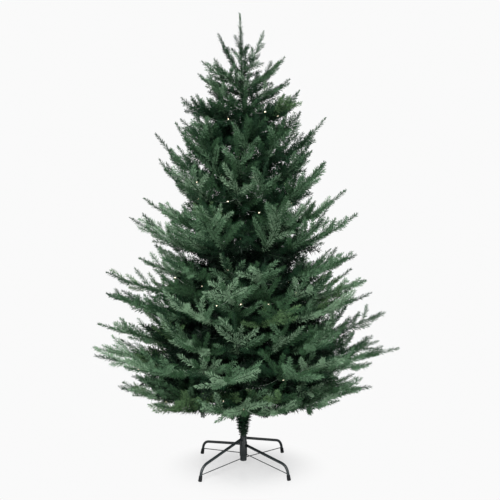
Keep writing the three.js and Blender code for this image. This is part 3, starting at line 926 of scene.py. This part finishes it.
# Stand: a closed hub tube with one pair of legs, and a sleeve round it with the other pair
stand = {
    "turn": 47, "sides": 48, "chamfer": 0.0006,
    "hub": {"radius": 0.0155, "bottom": 0.029, "top": 0.147, "bore": 0.0123, "edge": 0.003,
            "wall": 0.0042},
    "sleeve": {"radius": 0.0176, "bottom": 0.052, "top": 0.118, "bore": 0.0158},
    "leg": {"radius": 0.00635, "corner": 0.268, "cornerHeight": 0.064, "footReach": 0.281,
            "bend": 0.034, "end": 0.005, "sides": 20, "barSteps": 6, "bendSteps": 12, "endSteps": 3,
            "inBarrel": 0.001, "weld": 0.0012, "weldOut": 0.0012, "weldSeed": 500},
    "brace": {"radius": 0.002, "height": 0.028, "sides": 10, "steps": 4, "inLeg": 0.8,
              "inBarrel": 0.0005, "weld": 0.0008, "weldOut": 0.001, "weldSeed": 520},
    "weld": {"steps": 28, "sides": 8, "span": (0.8, 1.15)},
    # the cup's wall as steps in from its radius with heights, and its rim as steps below its top
    "cup": {"radius": 0.0088, "height": 0.025, "sides": 28, "dip": 0.001,
            "wall": [(0.0015, 0.0), (0.0, 0.0015), (0.0003, 0.009)],
            "rim": [(0.0008, 0.002), (0.0012, 0.0005)], "roundLeg": 0.0002, "underLeg": 0.0004},
    # for each pair: the radius it stands on, and the heights of its legs and its braces there
    "pairs": [(0.0155, 0.137, 0.041), (0.0176, 0.108, 0.062)],
    "names": ["back_right", "back_left", "front_left", "front_right"],
}


def standNodes(start):
    return [f"{start}_{name}" for name in stand["names"]]


def eachLeg():
    # number and azimuth of each leg, the radius it stands on and the heights of leg and brace there
    return [(i, stand["turn"] + 90 * i, *stand["pairs"][i % 2]) for i in range(len(stand["names"]))]


def legSplay():
    # how far the lower end of a leg leans out
    leg = stand["leg"]
    return math.atan2(leg["footReach"] - leg["corner"], leg["cornerHeight"])


def legWay(azimuth, legHeight, barrel):
    leg = stand["leg"]
    start = polar(azimuth, 0, legHeight)
    corner = polar(azimuth, leg["corner"], leg["cornerHeight"])
    foot = polar(azimuth, leg["footReach"], 0).lerp(corner, leg["end"] / leg["cornerHeight"])
    before = corner + (start - corner).normalized() * leg["bend"]
    after = corner + (foot - corner).normalized() * leg["bend"]
    near = start.lerp(corner, (barrel - leg["inBarrel"]) / leg["corner"])
    way = [near.lerp(before, i / leg["barSteps"]) for i in range(leg["barSteps"] + 1)]
    for i in range(1, leg["bendSteps"] + 1):
        t = i / leg["bendSteps"]
        way.append(before.lerp(corner, t).lerp(corner.lerp(after, t), t))
    return way + [after.lerp(foot, i / leg["endSteps"]) for i in range(1, leg["endSteps"] + 1)]


def weldRing(points, faces, foot, towards, tube, number):
    # a bead of weld round the foot of a tube
    along = (towards - foot).normalized()
    centre = foot + along * tube["weldOut"]
    normal = sideways(along)
    side = along.cross(normal)
    roll = dice(tube["weldSeed"] + number)
    count, sides = stand["weld"]["steps"], stand["weld"]["sides"]
    first = len(points)
    for i in range(count):
        turn = 2 * math.pi * i / count
        out = normal * math.cos(turn) + side * math.sin(turn)
        bead = tube["weld"] * draw(stand["weld"]["span"], roll)
        for k in range(sides):
            angle = 2 * math.pi * k / sides
            points.append(centre + out * (tube["radius"] + bead * math.cos(angle))
                          + along * (bead * math.sin(angle)))
    for i in range(count):
        for k in range(sides):
            a, b = i * sides + k, i * sides + (k + 1) % sides
            c, d = (i + 1) % count * sides + (k + 1) % sides, (i + 1) % count * sides + k
            faces.append((first + a, first + d, first + c, first + b))


def makeHub(enamel):
    hub, chamfer = stand["hub"], stand["chamfer"]
    edge, radius, low, top = hub["edge"], hub["radius"], hub["bottom"], hub["top"]
    rounding = [(radius - edge + edge * math.sin(a * deg), low + edge - edge * math.cos(a * deg))
                for a in range(0, 91, 15)]
    profile = [(0, low), *rounding, (radius, top - chamfer), (radius - chamfer, top), (hub["bore"], top),
               (hub["bore"], low + hub["wall"]), (0, low + hub["wall"])]
    addTurned("hub_tube", profile, stand["sides"], enamel, ["stand_hub"])


def makeSleeve(enamel):
    sleeve = stand["sleeve"]
    ring = chamfered(sleeve["radius"], sleeve["bottom"], sleeve["top"], stand["chamfer"])
    profile = [(sleeve["bore"], sleeve["bottom"]), *ring[1:-1], (sleeve["bore"], sleeve["top"]),
               (sleeve["bore"], sleeve["bottom"])]
    addTurned("sleeve_tube", profile, stand["sides"], enamel, ["stand_sleeve"])


def makeLegs(enamel):
    leg = stand["leg"]
    points, faces = [], []
    for number, azimuth, barrel, legHeight, _ in eachLeg():
        way = legWay(azimuth, legHeight, barrel)
        addTube(points, faces, way, [leg["radius"]] * len(way), leg["sides"])
        weldRing(points, faces, way[0], way[1], leg, number)
    addPiece("leg_tubes", points, faces, enamel, standNodes("leg"))


def makeBraces(enamel):
    leg, brace = stand["leg"], stand["brace"]
    reach = leg["footReach"] - brace["height"] * math.tan(legSplay()) - leg["radius"] * brace["inLeg"]
    steps = brace["steps"]
    points, faces = [], []
    for number, azimuth, barrel, _, braceHeight in eachLeg():
        near = polar(azimuth, barrel - brace["inBarrel"], braceHeight)
        far = polar(azimuth, reach, brace["height"])
        way = [near.lerp(far, k / steps) for k in range(steps + 1)]
        addTube(points, faces, way, [brace["radius"]] * len(way), brace["sides"])
        weldRing(points, faces, near, far, brace, number)
        weldRing(points, faces, far, near, brace, number)
    addPiece("brace_rods", points, faces, enamel, standNodes("brace"))


def makeFootCups(rubber):
    leg, cup = stand["leg"], stand["cup"]
    radius, top = cup["radius"], cup["height"]
    profile = [(0, 0.0), *((radius - inset, height) for inset, height in cup["wall"]),
               *((radius - inset, top - below) for inset, below in cup["rim"]),
               (leg["radius"] + cup["roundLeg"], top),
               (leg["radius"] - cup["underLeg"], top - cup["dip"]), (0, top - cup["dip"])]
    leaning = Matrix.Translation((leg["footReach"], 0, 0)) @ Matrix.Rotation(-legSplay(), 4, "Y")
    places = [Matrix.Rotation(azimuth * deg, 4, "Z") @ leaning for _, azimuth, *_ in eachLeg()]
    addTurned("foot_cups", profile, cup["sides"], rubber, standNodes("foot_cap"), places)


def makeStand():
    enamel = enamelMaterial("stand enamel", (0.018, 0.026, 0.028), roughness=0.36)
    rubber = plasticMaterial("foot rubber", (0.014, 0.016, 0.017), spread=0.2, roughness=0.75)
    makeHub(enamel)
    makeSleeve(enamel)
    makeLegs(enamel)
    makeBraces(enamel)
    makeFootCups(rubber)


makeStand()
print("stand made")

# String of small lights: its wire climbs round the crown in rings, from limb to limb, and sags
# between them
string = {
    "key": 210, "near": 0.34, "far": 0.66, "rest": 0.03, "sag": 0.16, "steps": 7,
    "sags": (0.4, 1.3), "wireRadius": 0.001, "wireSides": 5, "apart": 0.16,
    "aimUp": (-0.3, 0.9), "aimAside": (-0.7, 0.7), "socketRadius": 0.0022, "socketLength": 0.008,
    "socketBack": 0.001, "chamfer": 0.0005, "bulbRadius": 0.0016, "bulbLength": 0.0075,
    "bulbSunk": 0.0012, "sides": 8,
}


def stringAnchors():
    anchors = []
    for level, row in enumerate(crown["rows"]):
        tier = "low" if level % 2 else "high"
        ring = []
        for mass in range(row["count"]):
            for number, way in enumerate(ways):
                if way["tier"] == tier:
                    roll = dice(row["seed"], mass, number, string["key"])
                    point = limbPath(row, mass, number)(lerp(string["near"], string["far"], roll()))
                    ring.append(point + up * sway(string["rest"], roll))
        # each ring starts and ends behind the tree
        anchors += sorted(ring, key=lambda point: (math.atan2(point.y, point.x) / deg - 90) % 360)
    return anchors


def sagging(anchors):
    roll = dice(string["key"])
    way = []
    for start, end in zip(anchors, anchors[1:]):
        sag = (end - start).length * string["sag"] * draw(string["sags"], roll)
        for i in range(string["steps"]):
            t = i / string["steps"]
            way.append(start.lerp(end, t) - up * (4 * sag * t * (1 - t)))
    return way + [anchors[-1]]


def makeLightWire(way):
    wirePlastic = plasticMaterial("light wire plastic", (0.3, 0.36, 0.3), spread=0.1, roughness=0.45)
    points, faces = [], []
    addTube(points, faces, way, [string["wireRadius"]] * len(way), string["wireSides"])
    addPiece("light_wire", points, faces, wirePlastic)


def lampPlaces(way):
    # a place for each lamp along the wire, aimed outwards
    roll = dice(string["key"], 5)
    places = []
    since = 0
    for start, end in zip(way, way[1:]):
        since += (end - start).length
        if since < string["apart"]:
            continue
        since = 0
        outward = Vector((end.x, end.y, 0)).normalized()
        aim = outward + up * draw(string["aimUp"], roll)
        aim += outward.cross(up) * draw(string["aimAside"], roll)
        places.append(Matrix.Translation(end) @ aim.to_track_quat("Z", "Y").to_matrix().to_4x4())
    return places


def makeLamps(places):
    socketPlastic = plasticMaterial("light socket plastic", (0.02, 0.06, 0.03), spread=0.2, roughness=0.4)
    bulbPlastic = glowMaterial("warm bulb", (0.95, 0.8, 0.55))
    length, radius = string["socketLength"], string["bulbRadius"]
    tip, foot = length + string["bulbLength"], length - string["bulbSunk"]
    socket = chamfered(string["socketRadius"], -string["socketBack"], length, string["chamfer"])
    # the bulb is widest near its foot and closes to a small round tip
    bulb = [(0, foot), (radius * 0.85, foot), (radius, length + 0.002), (radius * 0.9, tip - 0.003),
            (radius * 0.5, tip - 0.0008), (0, tip)]
    addTurned("light_sockets", socket, string["sides"], socketPlastic, places=places)
    addTurned("light_bulbs", bulb, string["sides"], bulbPlastic, places=places)


def makeLights():
    way = sagging(stringAnchors())
    makeLightWire(way)
    makeLamps(lampPlaces(way))


makeLights()
print("lights made")

# Floor, light and camera. The patch is the part of the floor that shows as it is, by where it
# starts and ends to fade out from the pole, and how much of it shows there.
studio = {
    "floor": 400, "floorTone": (0.9, 0.9, 0.91), "floorRoughness": 0.12, "floorBounce": (0.6, 0.6, 0.6),
    "backdrop": 0.955, "patch": (0.12, 0.42, 0.42, 0.0), "skyHigh": 0.66, "skyLow": 0.08,
    "keyPlace": (-0.7, -2.4, 2.3), "keySoftness": 35, "keyStrength": 2.9,
    "fillPlace": (1.8, -2.7, 0.8), "fillSoftness": 60, "fillStrength": 0.95,
    "cameraPlace": (0.031, -3.633, 1.229), "cameraTilt": 3.28, "lens": 56.5,
}


def mixShaders(tree, factor, first, second):
    mix = addNode(tree, "ShaderNodeMixShader", Fac=factor)
    plug(tree, mix.inputs[1], first)
    plug(tree, mix.inputs[2], second)
    return mix


def showToCamera(tree, seen, other, out):
    # the camera sees one shader, and light meets the other
    ray = addNode(tree, "ShaderNodeLightPath").outputs["Is Camera Ray"]
    feed(tree, tree.nodes[out], Surface=mixShaders(tree, ray, other, seen))


def makeFloor():
    # the camera sees the backdrop's tone, and near the stand a faint shadow and reflection
    material, tree, shader = startMaterial("pale floor")
    feed(tree, shader, Base_Color=(*studio["floorTone"], 1), Roughness=studio["floorRoughness"])
    place = addNode(tree, "ShaderNodeTexCoord").outputs["Object"]
    distance = addNode(tree, "ShaderNodeVectorMath", {"operation": "LENGTH"})
    plug(tree, distance.inputs[0], place)
    patch = addFade(tree, distance.outputs["Value"], *studio["patch"])
    plain = addNode(tree, "ShaderNodeEmission", Color=(1, 1, 1, 1), Strength=studio["backdrop"])
    seen = mixShaders(tree, patch, plain, shader)
    bounce = addNode(tree, "ShaderNodeBsdfDiffuse", Color=(*studio["floorBounce"], 1))
    showToCamera(tree, seen, bounce, "Material Output")
    half = studio["floor"] / 2
    corners = [(-half, -half, 0), (half, -half, 0), (half, half, 0), (-half, half, 0)]
    addObject("floor", corners, [(0, 1, 2, 3)], material, False)


def makeSky():
    # a pale backdrop for the camera, and soft light that is stronger from above
    world = bpy.data.worlds.new("studio")
    world.use_nodes = True
    tree = world.node_tree
    place = addNode(tree, "ShaderNodeTexCoord").outputs["Generated"]
    height = addNode(tree, "ShaderNodeSeparateXYZ", Vector=place).outputs["Z"]
    fade = addNode(tree, "ShaderNodeMapRange", Value=height, From_Min=-0.3, From_Max=0.9,
                   To_Min=studio["skyLow"], To_Max=studio["skyHigh"])
    light = feed(tree, tree.nodes["Background"], Color=(1, 1, 1, 1), Strength=fade)
    backdrop = addNode(tree, "ShaderNodeBackground", Color=(1, 1, 1, 1), Strength=studio["backdrop"])
    showToCamera(tree, backdrop, light, "World Output")
    return world


def addLamp(name, place, softness, strength):
    # a far and wide lamp, so that the floor is even out to the horizon
    light = bpy.data.lights.new(name, "SUN")
    light.angle = softness * deg
    light.energy = strength
    lamp = link(name, light)
    lamp.location = place
    lamp.rotation_euler = (-Vector(place)).to_track_quat("-Z", "Y").to_euler()


def makeStudio():
    makeFloor()
    scene = bpy.context.scene
    scene.world = makeSky()
    scene.view_settings.view_transform = "Standard"
    addLamp("key", studio["keyPlace"], studio["keySoftness"], studio["keyStrength"])
    addLamp("fill", studio["fillPlace"], studio["fillSoftness"], studio["fillStrength"])
    camera = link("camera", bpy.data.cameras.new("camera"))
    camera.data.lens = studio["lens"]
    camera.location = studio["cameraPlace"]
    camera.rotation_euler = ((90 - studio["cameraTilt"]) * deg, 0, 0)
    scene.camera = camera


makeStudio()
print("studio made")
